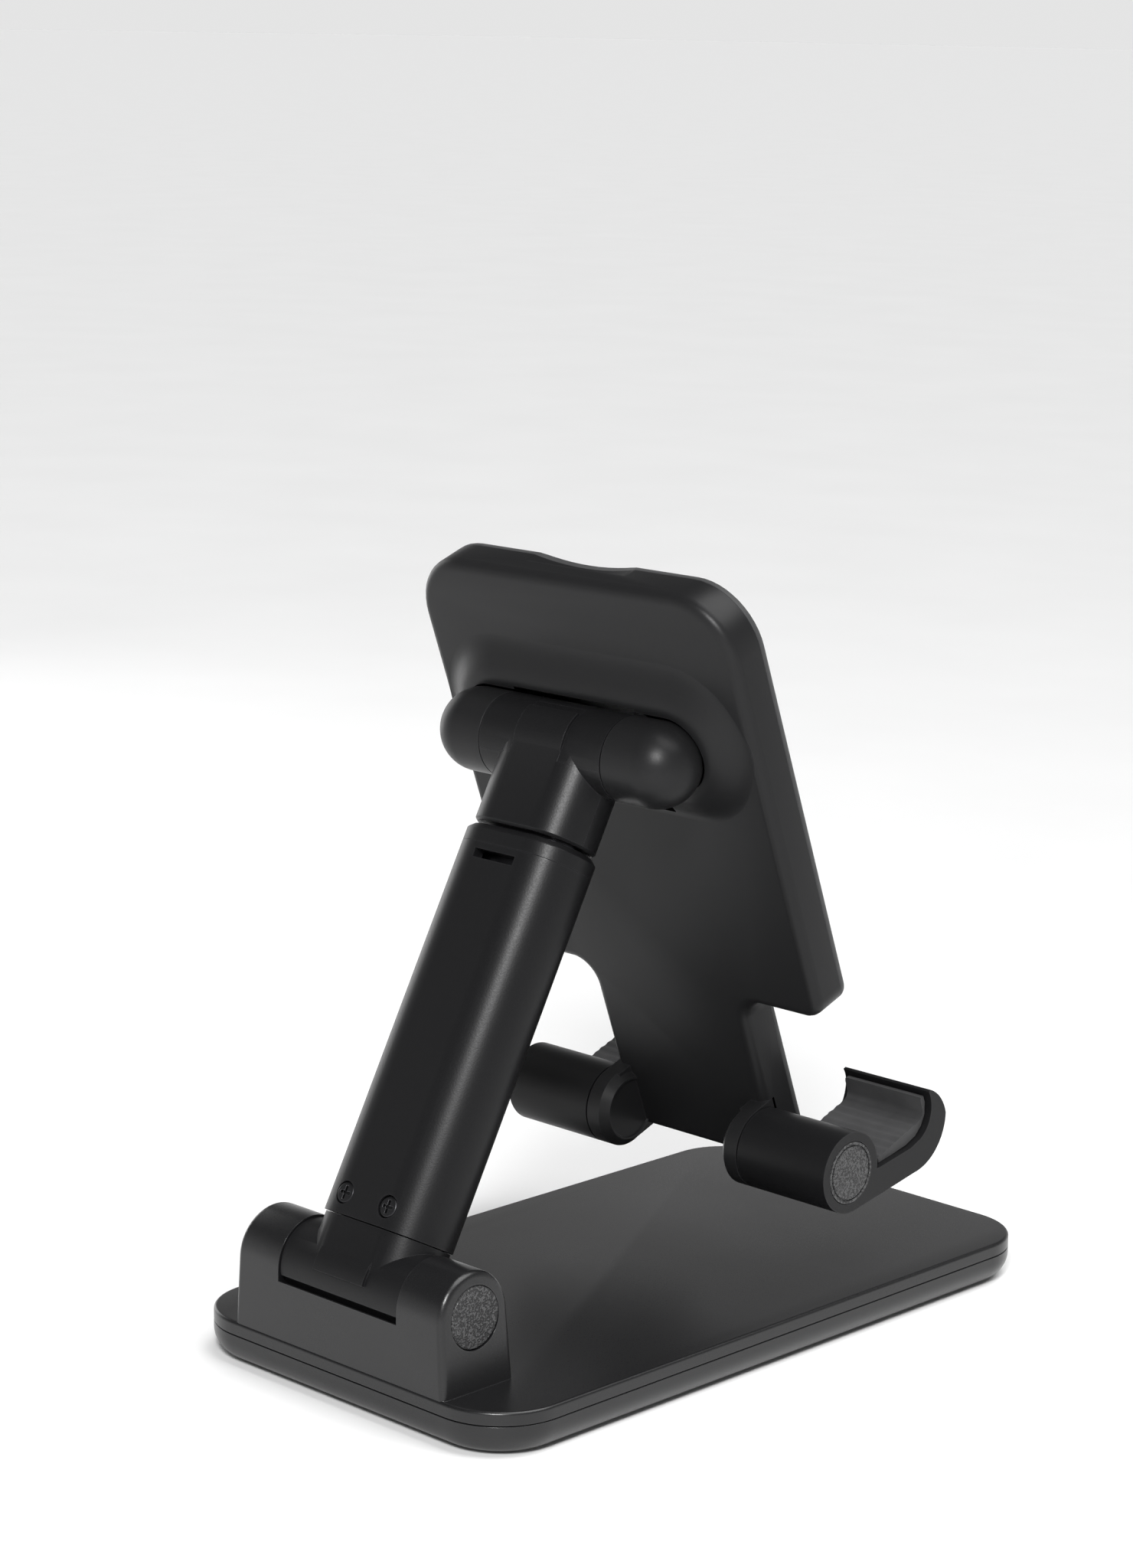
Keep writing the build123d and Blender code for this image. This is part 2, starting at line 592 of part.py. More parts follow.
LOWER_AXIS = Location((0, LOWER_Y, LOWER_Z))
UPPER_AXIS = Location((0, UPPER_Y, UPPER_Z))
LOWER_SHAFT_END = EAR_OUTER - 2.1
UPPER_SHAFT_END = 18.4

os.makedirs("parts", exist_ok=True)

write("base_top_shell", base_top_shell())
write("base_bottom_shell", base_bottom_shell())
write("counterweight_plate", counterweight_plate())
write("base_foot_pad", base_foot_pad())
write("base_screws", base_screws())
write("base_shaft", hinge_shaft(LOWER_SHAFT_END), LOWER_AXIS)
write("base_shaft_nut", hinge_nut(LOWER_SHAFT_END), LOWER_AXIS)
write("base_friction_washers", hinge_washers(), LOWER_AXIS)
write("base_hinge_caps", hinge_caps(), LOWER_AXIS)

write("arm_foot", arm_foot(), ARM_FRAME)
write("arm_sleeve", arm_sleeve(), ARM_FRAME)
write("sleeve_screws", sleeve_screws(), ARM_FRAME)
write("sleeve_collar", sleeve_collar(), ARM_FRAME)
write("brake_pad", brake_pad(), ARM_FRAME)

write("mast_tube", mast_tube(), ARM_FRAME)
write("mast_stop", mast_stop(), ARM_FRAME)
write("head_yoke", head_yoke(), ARM_FRAME)
write("head_cover", head_cover(), ARM_FRAME)
write("head_screws", head_screws(), ARM_FRAME)

write("plate_shell", plate_shell(), PLATE_FRAME)
write("plate_core", plate_core(), PLATE_FRAME)
write("plate_screws", plate_screws(), PLATE_FRAME)
write("plate_pad", plate_pad(), PLATE_FRAME)
write("head_shaft", hinge_shaft(UPPER_SHAFT_END), UPPER_AXIS)
write("head_shaft_nut", hinge_nut(UPPER_SHAFT_END), UPPER_AXIS)
write("head_friction_washers", hinge_washers(), UPPER_AXIS)

SIDED_PARTS = {
    "hinge_ear": hinge_ear,
    "hook": hook,
    "hook_pad": hook_pad,
    "hook_cap": hook_cap,
    "hook_pin": hook_pin,
    "hook_clip": hook_clip,
    "hook_washer": hook_washer,
}
for name, make in SIDED_PARTS.items():
    for side, shape in zip(("right", "left"), both_sides(make())):
        write(f"{name}_{side}", shape, PLATE_FRAME)
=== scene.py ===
import json
from math import acos, atan2, cos, pi, radians, sin, tan

import bmesh
import bpy
from mathutils import Matrix, Vector


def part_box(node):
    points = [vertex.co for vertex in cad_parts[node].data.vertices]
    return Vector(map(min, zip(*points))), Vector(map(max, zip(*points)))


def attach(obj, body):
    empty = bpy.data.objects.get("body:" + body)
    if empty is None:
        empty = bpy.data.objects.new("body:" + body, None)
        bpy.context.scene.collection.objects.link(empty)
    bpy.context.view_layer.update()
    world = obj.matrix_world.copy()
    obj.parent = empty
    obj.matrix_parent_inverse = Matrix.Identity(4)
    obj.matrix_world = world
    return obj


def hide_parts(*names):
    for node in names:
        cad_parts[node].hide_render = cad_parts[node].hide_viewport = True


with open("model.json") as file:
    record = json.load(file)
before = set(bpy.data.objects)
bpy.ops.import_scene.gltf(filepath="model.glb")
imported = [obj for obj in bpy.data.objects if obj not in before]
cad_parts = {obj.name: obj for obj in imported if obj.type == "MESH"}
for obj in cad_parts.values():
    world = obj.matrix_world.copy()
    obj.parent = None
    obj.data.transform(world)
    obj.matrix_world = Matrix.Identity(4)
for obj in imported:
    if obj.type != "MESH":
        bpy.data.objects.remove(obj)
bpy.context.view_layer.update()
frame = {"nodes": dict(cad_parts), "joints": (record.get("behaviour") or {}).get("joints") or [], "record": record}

MM = 0.001
RECORD = frame["record"]
BODY_OF = {node: body for body, nodes in RECORD["behaviour"]["bodies"].items() for node in nodes}
SLOT_OF = {part["node"]: part["material_slot"] for part in RECORD["subparts"]}
JOINTS = {joint["name"]: joint for joint in frame["joints"]}
MOUNTS = {mount["name"]: mount for mount in RECORD["mounts"]}

# The plate's own axes: UP along the plate, BACK out of its rear face.
# Its origin is level with the phone's lower edge, in the middle of the phone.
ACROSS = Vector((1, 0, 0))
BACK = -Vector(MOUNTS["back_rest"]["axis"]).normalized()
UP = ACROSS.cross(BACK).normalized()
UPPER_AXIS = Vector(JOINTS["plate_tilt"]["pos_m"])
AXIS_UP = 68.8
AXIS_BACK = 17.6
PLATE_ORIGIN = UPPER_AXIS - UP * AXIS_UP * MM - BACK * AXIS_BACK * MM


def on_plate(x, back, up):
    """A point given in the plate's own millimetres."""
    return PLATE_ORIGIN + (ACROSS * x + BACK * back + UP * up) * MM


# ---------------------------------------------------------------- materials


def new_material(name, **settings):
    """A material with one Principled shader, its constant sockets set directly."""
    material = bpy.data.materials.new(name)
    material.use_nodes = True
    shader = material.node_tree.nodes["Principled BSDF"]
    for socket, value in settings.items():
        shader.inputs[socket.replace("_", " ")].default_value = value
    return material, material.node_tree, shader


def add(tree, kind, values=(), **settings):
    """A node with some of its properties and input sockets set."""
    node = tree.nodes.new(kind)
    for key, value in settings.items():
        setattr(node, key, value)
    for socket, value in dict(values).items():
        node.inputs[socket].default_value = value
    return node


def noise(tree, size, detail=2.0, stretch=(1, 1, 1)):
    """Noise whose features are about size metres across, in the piece's own coordinates."""
    place = add(tree, "ShaderNodeTexCoord")
    scale = add(tree, "ShaderNodeMapping", {"Scale": stretch})
    pattern = add(tree, "ShaderNodeTexNoise", {"Scale": 1 / size, "Detail": detail})
    tree.links.new(place.outputs["Object"], scale.inputs["Vector"])
    tree.links.new(scale.outputs["Vector"], pattern.inputs["Vector"])
    return pattern.outputs["Fac"]


def spread(tree, value, low, high, start=0.0, end=1.0):
    """A value moved from one range to another."""
    values = {"From Min": start, "From Max": end, "To Min": low, "To Max": high}
    node = add(tree, "ShaderNodeMapRange", values)
    tree.links.new(value, node.inputs["Value"])
    return node.outputs["Result"]


def combine(tree, kind, one, two):
    """Two values joined by a maths operation."""
    node = add(tree, "ShaderNodeMath", operation=kind)
    for slot, value in enumerate((one, two)):
        if isinstance(value, (int, float)):
            node.inputs[slot].default_value = value
        else:
            tree.links.new(value, node.inputs[slot])
    return node.outputs[0]


def edge_mask(tree, radius):
    """Near 1 on the crests of the piece's edges and 0 on its faces."""
    rounded = add(tree, "ShaderNodeBevel", {"Radius": radius}, samples=6)
    plain = add(tree, "ShaderNodeNewGeometry")
    product = add(tree, "ShaderNodeVectorMath", operation="DOT_PRODUCT")
    tree.links.new(rounded.outputs["Normal"], product.inputs[0])
    tree.links.new(plain.outputs["True Normal"], product.inputs[1])
    return spread(tree, product.outputs["Value"], 1.0, 0.0, 0.86, 0.995)


def tint(tree, shader, colour, light, amount):
    """Base colour between the plain colour and a lighter one."""
    mix = add(tree, "ShaderNodeMix", data_type="RGBA")
    mix.inputs["A"].default_value = (*colour, 1)
    mix.inputs["B"].default_value = (*light, 1)
    tree.links.new(amount, mix.inputs["Factor"])
    tree.links.new(mix.outputs["Result"], shader.inputs["Base Color"])


def bump(tree, shader, layers):
    """Stacked bumps, each a (height, strength, depth in metres)."""
    last = None
    for height, strength, depth in layers:
        node = add(tree, "ShaderNodeBump", {"Strength": strength, "Distance": depth})
        tree.links.new(height, node.inputs["Height"])
        if last:
            tree.links.new(last, node.inputs["Normal"])
        last = node.outputs["Normal"]
    tree.links.new(last, shader.inputs["Normal"])


def moulded_plastic(name, colour, roughness, grain, depth, shine=0.18):
    """Black moulded plastic: spark-eroded grain, cloudy gloss, and edges made lighter and glossier, partly as
    handling wear and partly as a painted edge highlight.
    """
    material, tree, shader = new_material(name, Specular_IOR_Level=shine, IOR=1.5)
    fine = noise(tree, grain, 3.0)
    cloud = noise(tree, 14 * MM, 4.0)
    # Painted edge highlight mixed with handling wear: the edge crests get a lighter base colour and a lower
    # roughness.
    worn_and_highlit_edge = combine(tree, "MULTIPLY", edge_mask(tree, 0.35 * MM), noise(tree, 3 * MM, 4.0))
    tint(tree, shader, colour, [c * 2.4 for c in colour], combine(tree, "MULTIPLY", worn_and_highlit_edge, 1.2))
    gloss = combine(tree, "ADD", spread(tree, cloud, -0.025, 0.025), spread(tree, fine, -0.08, 0.08))
    gloss = combine(tree, "ADD", gloss, roughness)
    gloss = combine(tree, "SUBTRACT", gloss, combine(tree, "MULTIPLY", worn_and_highlit_edge, 0.15))
    tree.links.new(gloss, shader.inputs["Roughness"])
    bump(tree, shader, [(fine, 0.55, depth), (cloud, 0.03, 0.03 * MM)])
    return material


def eroded_plastic(name):
    """The coarse, wormy texture of the round end caps."""
    material, tree, shader = new_material(name, Specular_IOR_Level=0.5, IOR=1.5)
    coarse = noise(tree, 0.30 * MM, 1.5)
    fine = noise(tree, 0.12 * MM, 2.0)
    worms = spread(tree, coarse, 0.0, 1.0, 0.44, 0.56)
    tint(tree, shader, (0.009, 0.009, 0.0095), (0.045, 0.045, 0.046), worms)
    tree.links.new(spread(tree, worms, 0.55, 0.36), shader.inputs["Roughness"])
    bump(tree, shader, [(worms, 1.0, 0.12 * MM), (fine, 0.4, 0.02 * MM)])
    return material


def silicone(name):
    """Soft black silicone, with a dry bloom and a faint mottle."""
    constants = {"Specular_IOR_Level": 0.42, "Sheen_Weight": 0.12, "Sheen_Roughness": 0.5}
    material, tree, shader = new_material(name, **constants)
    mottle = noise(tree, 2.5 * MM, 5.0)
    fine = noise(tree, 0.12 * MM, 2.0)
    tint(tree, shader, (0.014, 0.014, 0.015), (0.034, 0.034, 0.035), mottle)
    tree.links.new(spread(tree, fine, 0.52, 0.72), shader.inputs["Roughness"])
    bump(tree, shader, [(fine, 0.35, 0.02 * MM), (mottle, 0.08, 0.08 * MM)])
    return material


def metal(name, colour, roughness, stretch, lines=0.12 * MM):
    """Metal with fine tool lines; stretch makes them long along one axis."""
    material, tree, shader = new_material(name, Metallic=1.0)
    drawn = noise(tree, lines, 3.0, stretch)
    cloud = noise(tree, 9 * MM, 3.0)
    tint(tree, shader, [c * 0.82 for c in colour], colour, drawn)
    gloss = combine(tree, "ADD", spread(tree, drawn, -0.07, 0.09), spread(tree, cloud, -0.025, 0.025))
    tree.links.new(combine(tree, "ADD", gloss, roughness), shader.inputs["Roughness"])
    bump(tree, shader, [(drawn, 0.3, 0.01 * MM)])
    return material


def black_oxide(name):
    """Blackened screw steel, worn bright along the recess's edges."""
    material, tree, shader = new_material(name, Metallic=0.85)
    wear = edge_mask(tree, 0.12 * MM)
    worn = combine(tree, "MULTIPLY", wear, noise(tree, 0.4 * MM, 3.0))
    tint(tree, shader, (0.03, 0.03, 0.032), (0.35, 0.35, 0.36), worn)
    fine = noise(tree, 0.1 * MM, 2.0)
    tree.links.new(spread(tree, fine, 0.28, 0.45), shader.inputs["Roughness"])
    bump(tree, shader, [(fine, 0.3, 0.01 * MM)])
    return material


def pale_floor(name):
    """The plain pale surface that the stand is on."""
    material, tree, shader = new_material(name, Specular_IOR_Level=0.2)
    cloud = noise(tree, 60 * MM, 3.0)
    tint(tree, shader, (0.83, 0.83, 0.83), (0.87, 0.87, 0.87), cloud)
    tree.links.new(spread(tree, cloud, 0.55, 0.65), shader.inputs["Roughness"])
    return material


MATERIALS = {
    "base_plastic": moulded_plastic(
        "base_plastic", (0.007, 0.007, 0.0075), roughness=0.30, grain=0.16 * MM, depth=0.006 * MM, shine=0.42
    ),
    "arm_plastic": moulded_plastic(
        "arm_plastic", (0.007, 0.007, 0.0075), roughness=0.36, grain=0.24 * MM, depth=0.018 * MM
    ),
    "plate_plastic": moulded_plastic(
        "plate_plastic", (0.010, 0.010, 0.0105), roughness=0.38, grain=0.20 * MM, depth=0.012 * MM
    ),
    "hook_plastic": moulded_plastic(
        "hook_plastic", (0.007, 0.007, 0.0075), roughness=0.38, grain=0.20 * MM, depth=0.012 * MM
    ),
    "textured_cap": eroded_plastic("textured_cap"),
    "silicone": silicone("silicone"),
    "black_screw": black_oxide("black_screw"),
    "mast_metal": metal("mast_metal", (0.055, 0.055, 0.06), 0.32, stretch=(1, 0.06, 0.06)),
    "steel": metal("steel", (0.56, 0.56, 0.57), 0.30, stretch=(0.1, 1, 1)),
}


def paint(piece, slot):
    """Give a piece the one material of its slot."""
    piece.data.materials.clear()
    piece.data.materials.append(MATERIALS[slot])


# ---------------------------------------------------------------- mesh helpers


def rounded_outline(corners, step=radians(7.5)):
    """A closed outline from (x, y, radius) corners, with each corner turned into an arc."""
    points = []
    count = len(corners)
    for i, (x, y, radius) in enumerate(corners):
        here = Vector((x, y))
        before = (Vector(corners[i - 1][:2]) - here).normalized()
        after = (Vector(corners[(i + 1) % count][:2]) - here).normalized()
        opening = acos(max(-1.0, min(1.0, before.dot(after))))
        middle = here + (before + after).normalized() * radius / sin(opening / 2)
        first = here + before * radius / tan(opening / 2) - middle
        last = here + after * radius / tan(opening / 2) - middle
        turn = atan2(first.cross(last), first.dot(last))
        steps = max(2, round(abs(turn) / step))
        for k in range(steps + 1):
            points.append(middle + Matrix.Rotation(turn * k / steps, 2) @ first)
    return points


def mesh_object(name, build):
    """A new object whose mesh is made by build(bm)."""
    bm = bmesh.new()
    build(bm)
    bmesh.ops.recalc_face_normals(bm, faces=bm.faces)
    mesh = bpy.data.meshes.new(name)
    bm.to_mesh(mesh)
    bm.free()
    piece = bpy.data.objects.new(name, mesh)
    bpy.context.scene.collection.objects.link(piece)
    return piece


def loft(rings, place):
    """A build function: closed rings of equal length joined in order, capped at both ends."""

    def build(bm):
        loops = [[bm.verts.new(place(*point)) for point in ring] for ring in rings]
        count = len(loops[0])
        for lower, upper in zip(loops, loops[1:]):
            for i in range(count):
                j = (i + 1) % count
                bm.faces.new((lower[i], lower[j], upper[j], upper[i]))
        bm.faces.new(loops[0])
        bm.faces.new(loops[-1])

    return build


def settle(piece):
    """Turn a piece's modifiers into plain mesh."""
    graph = bpy.context.evaluated_depsgraph_get()
    mesh = bpy.data.meshes.new_from_object(piece.evaluated_get(graph))
    piece.modifiers.clear()
    piece.data = mesh


def soften(piece, width, segments=3, angle=32):
    """Round a piece's sharp edges and shade it smooth."""
    bevel = piece.modifiers.new("edges", "BEVEL")
    bevel.width = width
    bevel.segments = segments
    bevel.limit_method = "ANGLE"
    bevel.angle_limit = radians(angle)
    bevel.use_clamp_overlap = True
    piece.data.shade_smooth()
    bevel.harden_normals = True
    settle(piece)
    drop_crumbs(piece.data)


def carve(piece, cutter, operation="DIFFERENCE"):
    """Cut another mesh out of a piece, or join it on, and drop the other mesh."""
    modifier = piece.modifiers.new("carve", "BOOLEAN")
    modifier.operation = operation
    modifier.object = cutter
    modifier.solver = "EXACT"
    settle(piece)
    bpy.data.objects.remove(cutter)


def clean(mesh):
    """Merge a mesh's doubled points and its flat stretches."""
    bm = bmesh.new()
    bm.from_mesh(mesh)
    bmesh.ops.remove_doubles(bm, verts=bm.verts, dist=0.0005 * MM)
    bmesh.ops.dissolve_limit(bm, angle_limit=radians(0.3), verts=bm.verts, edges=bm.edges)
    bm.to_mesh(mesh)
    bm.free()


def island_of(face, seen):
    """The faces joined to one face through edges that just two faces share."""
    island = []
    stack = [face]
    seen.add(face)
    while stack:
        here = stack.pop()
        island.append(here)
        for edge in here.edges:
            if len(edge.link_faces) != 2:
                continue
            for other in edge.link_faces:
                if other not in seen:
                    seen.add(other)
                    stack.append(other)
    return island


def drop_crumbs(mesh, limit=60):
    """Delete the tiny loose fragments that a boolean or a bevel can leave behind."""
    bm = bmesh.new()
    bm.from_mesh(mesh)
    seen = set()
    crumbs = []
    for face in bm.faces:
        if face not in seen:
            island = island_of(face, seen)
            if len(island) < limit:
                crumbs += island
    bmesh.ops.delete(bm, geom=crumbs, context="FACES")
    bm.to_mesh(mesh)
    bm.free()


def join_frame(piece, node, *more):
    """Ride, slot and paint a piece after the CAD node that it stands for."""
    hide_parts(node, *more)
    paint(piece, SLOT_OF[node])
    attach(piece, BODY_OF[node])


def refine(node, width):
    """A finished copy of a hard CAD node, with its edges rounded as a mould leaves them."""
    mesh = frame["nodes"][node].data.copy()
    if mesh.has_custom_normals:
        mesh.attributes.remove(mesh.attributes["custom_normal"])
    clean(mesh)
    piece = bpy.data.objects.new(node + "_finish", mesh)
    bpy.context.scene.collection.objects.link(piece)
    soften(piece, width)
    join_frame(piece, node)


# ---------------------------------------------------------------- hard pieces that need finished edges

# How far each piece's edges are rounded, in millimetres.
FINISHED = {
    "base_top_shell": 0.12,
    "base_bottom_shell": 0.12,
    "base_hinge_caps": 0.10,
    "arm_foot": 0.16,
    "arm_sleeve": 0.14,
    "sleeve_collar": 0.14,
    "sleeve_screws": 0.05,
    "head_yoke": 0.16,
    "head_cover": 0.14,
    "head_screws": 0.05,
    "mast_tube": 0.10,
    "hinge_ear_left": 0.14,
    "hinge_ear_right": 0.14,
    "hook_left": 0.22,
    "hook_right": 0.22,
    "hook_cap_left": 0.06,
    "hook_cap_right": 0.06,
}


# ---------------------------------------------------------------- the plate

PLATE_HALF = 30.5
PLATE_TOP = 92.4
WIDE_FROM = 25.4
TONGUE_HALF = 15.1
TONGUE_FROM = -3.5
PLATE_FRONT = 6.0
PLATE_BACK = 11.6
PAD_FRONT = 5.0
BACK_ROUND = 1.6
MOUND_HEIGHT = 2.9
MOUND_HALF = 29.6
MOUND_REACH = 13.0
MOUND_SLOPE = 6.8
EAR_BALL = 6.2
EAR_END = 23.5
POCKET_GAP = 0.35
BARREL_HALF = 11.85
TAB_SWEEP = 6.95
KNUCKLE_BACK = 14.2
KNUCKLE_UP = 1.6
KNUCKLE_RADIUS = 6.05
LUG_INNER = 11.5
LUG_CHAMFER = 1.2
LUG_SINK = 0.3
LUG_DROP = 5.6
PLATE_CORNER = 9.5
PLATE_LOW_CORNER = 3.2
PLATE_INNER_CORNER = 3.75
TONGUE_CORNER = 1.2
RELIEF_HALF = 12.2
RELIEF_DEPTH = 6.6
RELIEF_FROM = 57.0
CORE_HALF = 25
CORE_REACH = 14
CORE_DEPTH = 1.8
SCOOP_RADIUS = 46
SCOOP_DEPTH = 1.1


def plate_outline(inset):
    """The plate's outline, moved inwards, in the plate's millimetres."""
    high = PLATE_TOP - inset
    low = WIDE_FROM + inset
    foot = TONGUE_FROM + inset
    wide = PLATE_HALF - inset
    tongue = TONGUE_HALF - inset
    right = [
        (tongue, foot, max(0.6, TONGUE_CORNER - inset)),
        (tongue, low, PLATE_INNER_CORNER + inset),
        (wide, low, max(0.8, PLATE_LOW_CORNER - inset)),
        (wide, high, PLATE_CORNER - inset),
    ]
    left = [(-x, y, radius) for x, y, radius in reversed(right)]
    return rounded_outline(right + left)


def plate_rings(profile):
    """The plate's outline at several (inset, depth) stations."""
    return [[(p.x, back, p.y) for p in plate_outline(inset)] for inset, back in profile]


def rounded_profile(front, back, front_round, back_round, steps=5):
    """(inset, depth) stations of a slab's side, with both of its edges rounded."""
    stations = []
    for k in range(steps + 1):
        turn = pi / 2 * k / steps
        stations.append((front_round * (1 - sin(turn)), front + front_round * (1 - cos(turn))))
    for k in range(steps + 1):
        turn = pi / 2 * k / steps
        stations.append((back_round * (1 - cos(turn)), back - back_round * (1 - sin(turn))))
    return stations


def stadium(half_length, half_width, steps=24):
    """A long round-ended loop about the origin."""
    straight = max(half_length - half_width, 0.0)
    loop = []
    for side in (1, -1):
        for k in range(steps + 1):
            turn = -pi / 2 + pi * k / steps
            loop.append((side * (straight + half_width * cos(turn)), side * half_width * sin(turn)))
    return loop


def mound_rings(steps=12):
    """The soft swelling round the hinge, rising without a crease out of the plate's face."""
    rings = [[(x, PLATE_BACK - 1.5, AXIS_UP + y) for x, y in stadium(MOUND_HALF, MOUND_REACH)]]
    for k in range(steps + 1):
        part = k / steps
        rise = (1 - cos(pi * part)) / 2
        shrink = MOUND_SLOPE * part
        loop = stadium(MOUND_HALF - shrink, MOUND_REACH - shrink)
        rings.append([(x, PLATE_BACK - 0.03 + MOUND_HEIGHT * rise, AXIS_UP + y) for x, y in loop])
    return rings


def turned(name, profile, back, up, steps=72):
    """A solid turned about X: profile is (x, radius) stations, closed at both ends."""
    rings = []
    for x, radius in profile:
        angles = [2 * pi * k / steps for k in range(steps)]
        rings.append([(x, back + radius * cos(a), up + radius * sin(a)) for a in angles])
    return mesh_object(name, loft(rings, on_plate))


def capsule_profile(radius, end, steps=16):
    """(x, radius) stations of a round-ended bar that reaches from -end to end."""
    middle = end - radius
    stations = []
    for k in range(steps + 1):
        turn = pi / 2 * (k + 0.25) / (steps + 0.25)
        stations.append((-middle - radius * cos(turn), radius * sin(turn)))
    return stations + [(-x, r) for x, r in reversed(stations)]


def plate_block(name, x, back, up):
    """A box in the plate's millimetres, each side a (low, high) pair."""
    low, high = ((x[k], back[k], up[k]) for k in (0, 1))
    ring = [(low[0], low[2]), (high[0], low[2]), (high[0], high[2]), (low[0], high[2])]
    rings = [[(px, b, pz) for px, pz in ring] for b in (low[1], high[1])]
    return mesh_object(name, loft(rings, on_plate))


def finger_scoop(steps=160):
    """The cutter of the shallow dip in the plate's top edge, at the front."""
    middle = PLATE_TOP + (SCOOP_RADIUS - SCOOP_DEPTH)
    angles = [2 * pi * k / steps for k in range(steps)]
    wide = [(SCOOP_RADIUS * cos(a), middle + SCOOP_RADIUS * sin(a)) for a in angles]
    rings = [[(x, back, y) for x, y in wide] for back in (PAD_FRONT - 1.0, PLATE_FRONT + 2.0)]
    return mesh_object("scoop", loft(rings, on_plate))


def lug(side):
    """One of the two knuckle lugs behind the tongue, with a chamfered rim and a sunk inner face."""
    rim = KNUCKLE_RADIUS - LUG_CHAMFER
    stations = [
        (LUG_INNER + LUG_SINK, rim - 0.75),
        (LUG_INNER + LUG_SINK, rim - 0.35),
        (LUG_INNER, rim - 0.3),
        (LUG_INNER, rim),
        (LUG_INNER + LUG_CHAMFER, KNUCKLE_RADIUS),
        (TONGUE_HALF, KNUCKLE_RADIUS),
    ]
    body = turned("lug", [(side * x, r) for x, r in stations], KNUCKLE_BACK, KNUCKLE_UP)
    x = sorted((side * (LUG_INNER + 0.7), side * TONGUE_HALF))
    up = (KNUCKLE_UP - LUG_DROP, KNUCKLE_UP + KNUCKLE_RADIUS)
    web = plate_block("web", x, (PLATE_BACK - 2, KNUCKLE_BACK), up)
    carve(body, web, "UNION")
    return body


def hinge_cutters():
    """The spaces cut in the plate: the ears' pocket, the neck's bay, the tab's sweep and the core's bay."""
    capsule = capsule_profile(EAR_BALL + POCKET_GAP, EAR_END + POCKET_GAP)
    barrel = [(-BARREL_HALF, TAB_SWEEP), (BARREL_HALF, TAB_SWEEP)]
    neck = (AXIS_BACK - RELIEF_DEPTH, AXIS_BACK + 2)
    core = (PLATE_FRONT - 1, PLATE_FRONT + CORE_DEPTH)
    reach = (AXIS_UP - CORE_REACH, AXIS_UP + CORE_REACH)
    return [
        turned("pocket", capsule, AXIS_BACK, AXIS_UP),
        plate_block("relief", (-RELIEF_HALF, RELIEF_HALF), neck, (RELIEF_FROM, AXIS_UP)),
        turned("sweep", barrel, AXIS_BACK, AXIS_UP),
        plate_block("core", (-CORE_HALF, CORE_HALF), core, reach),
    ]


def plate_shell():
    """The plate with its soft mound, the pocket of the hinge ears, and the knuckle lugs."""
    profile = rounded_profile(PLATE_FRONT, PLATE_BACK, 0.1, BACK_ROUND)
    shell = mesh_object("plate_shell_finish", loft(plate_rings(profile), on_plate))
    carve(shell, mesh_object("mound", loft(mound_rings(), on_plate)), "UNION")
    for cutter in hinge_cutters():
        carve(shell, cutter)
    carve(shell, finger_scoop())
    for side in (1, -1):
        carve(shell, lug(side), "UNION")
    clean(shell.data)
    drop_crumbs(shell.data)
    soften(shell, 0.16 * MM, 3, 34)
    join_frame(shell, "plate_shell")


def plate_pad():
    """The silicone sheet on the plate's front, with a shallow groove inside its rim."""
    profile = [(5.2, PAD_FRONT + 0.02), (4.6, PAD_FRONT), (4.3, PAD_FRONT + 0.25), (3.7, PAD_FRONT + 0.25)]
    profile += [(3.4, PAD_FRONT), (0.45, PAD_FRONT), (0.14, PAD_FRONT + 0.12), (0.02, PAD_FRONT + 0.42)]
    profile += [(0.0, PLATE_FRONT - 0.1), (0.06, PLATE_FRONT)]
    pad = mesh_object("plate_pad_sheet", loft(plate_rings(profile), on_plate))
    carve(pad, finger_scoop())
    soften(pad, 0.05 * MM, 2, 40)
    join_frame(pad, "plate_pad")


# ---------------------------------------------------------------- the other silicone pieces

HOOK_INNER = 15.4
HOOK_OUTER = 31.9
RIBS = 6
RIB_STEPS = 4
RIB_HEIGHT = 0.08
RIBS_FROM = -2.9
RIBS_LENGTH = 9.7
LINER_TOP = -0.6
FOOT_CORNER = 6.4


def liner_section():
    """The liner's outline in (back, up) millimetres, ribbed where the phone's edge stands."""
    tip = [(-5.05, 2.55), (-4.45, 2.6), (-4.3, 2.2), (-4.25, 0.35), (-3.9, -0.3), (-3.3, -0.55)]
    ribbed = []
    for k in range(RIBS * RIB_STEPS + 1):
        back = RIBS_FROM + RIBS_LENGTH * k / (RIBS * RIB_STEPS)
        ribbed.append((back, LINER_TOP + RIB_HEIGHT * cos(2 * pi * k / RIB_STEPS)))
    under = [(7.25, -0.75), (7.3, -1.45), (4.4, -1.98), (1.0, -2.5)]
    under += [(-1.5, -2.33), (-3.2, -1.5), (-4.45, -0.2), (-5.1, 1.6)]
    return tip + ribbed + under


def hook_liner(side):
    """A hook's silicone liner."""
    low = HOOK_INNER + 1.0
    high = HOOK_OUTER - 1.0
    section = liner_section()
    middle = Vector((sum(p[0] for p in section), sum(p[1] for p in section))) / len(section)
    rings = []
    for x, inset in ((low, 0.12), (low + 0.15, 0.0), (high - 0.15, 0.0), (high, 0.12)):
        ring = [Vector(p) - (Vector(p) - middle).normalized() * inset for p in section]
        rings.append([(side * x, p.x, p.y) for p in ring])
    name = "hook_liner_right" if side > 0 else "hook_liner_left"
    liner = mesh_object(name, loft(rings, on_plate))
    liner.data.shade_smooth()
    liner.data.set_sharp_from_angle(angle=radians(40))
    join_frame(liner, "hook_pad_right" if side > 0 else "hook_pad_left")


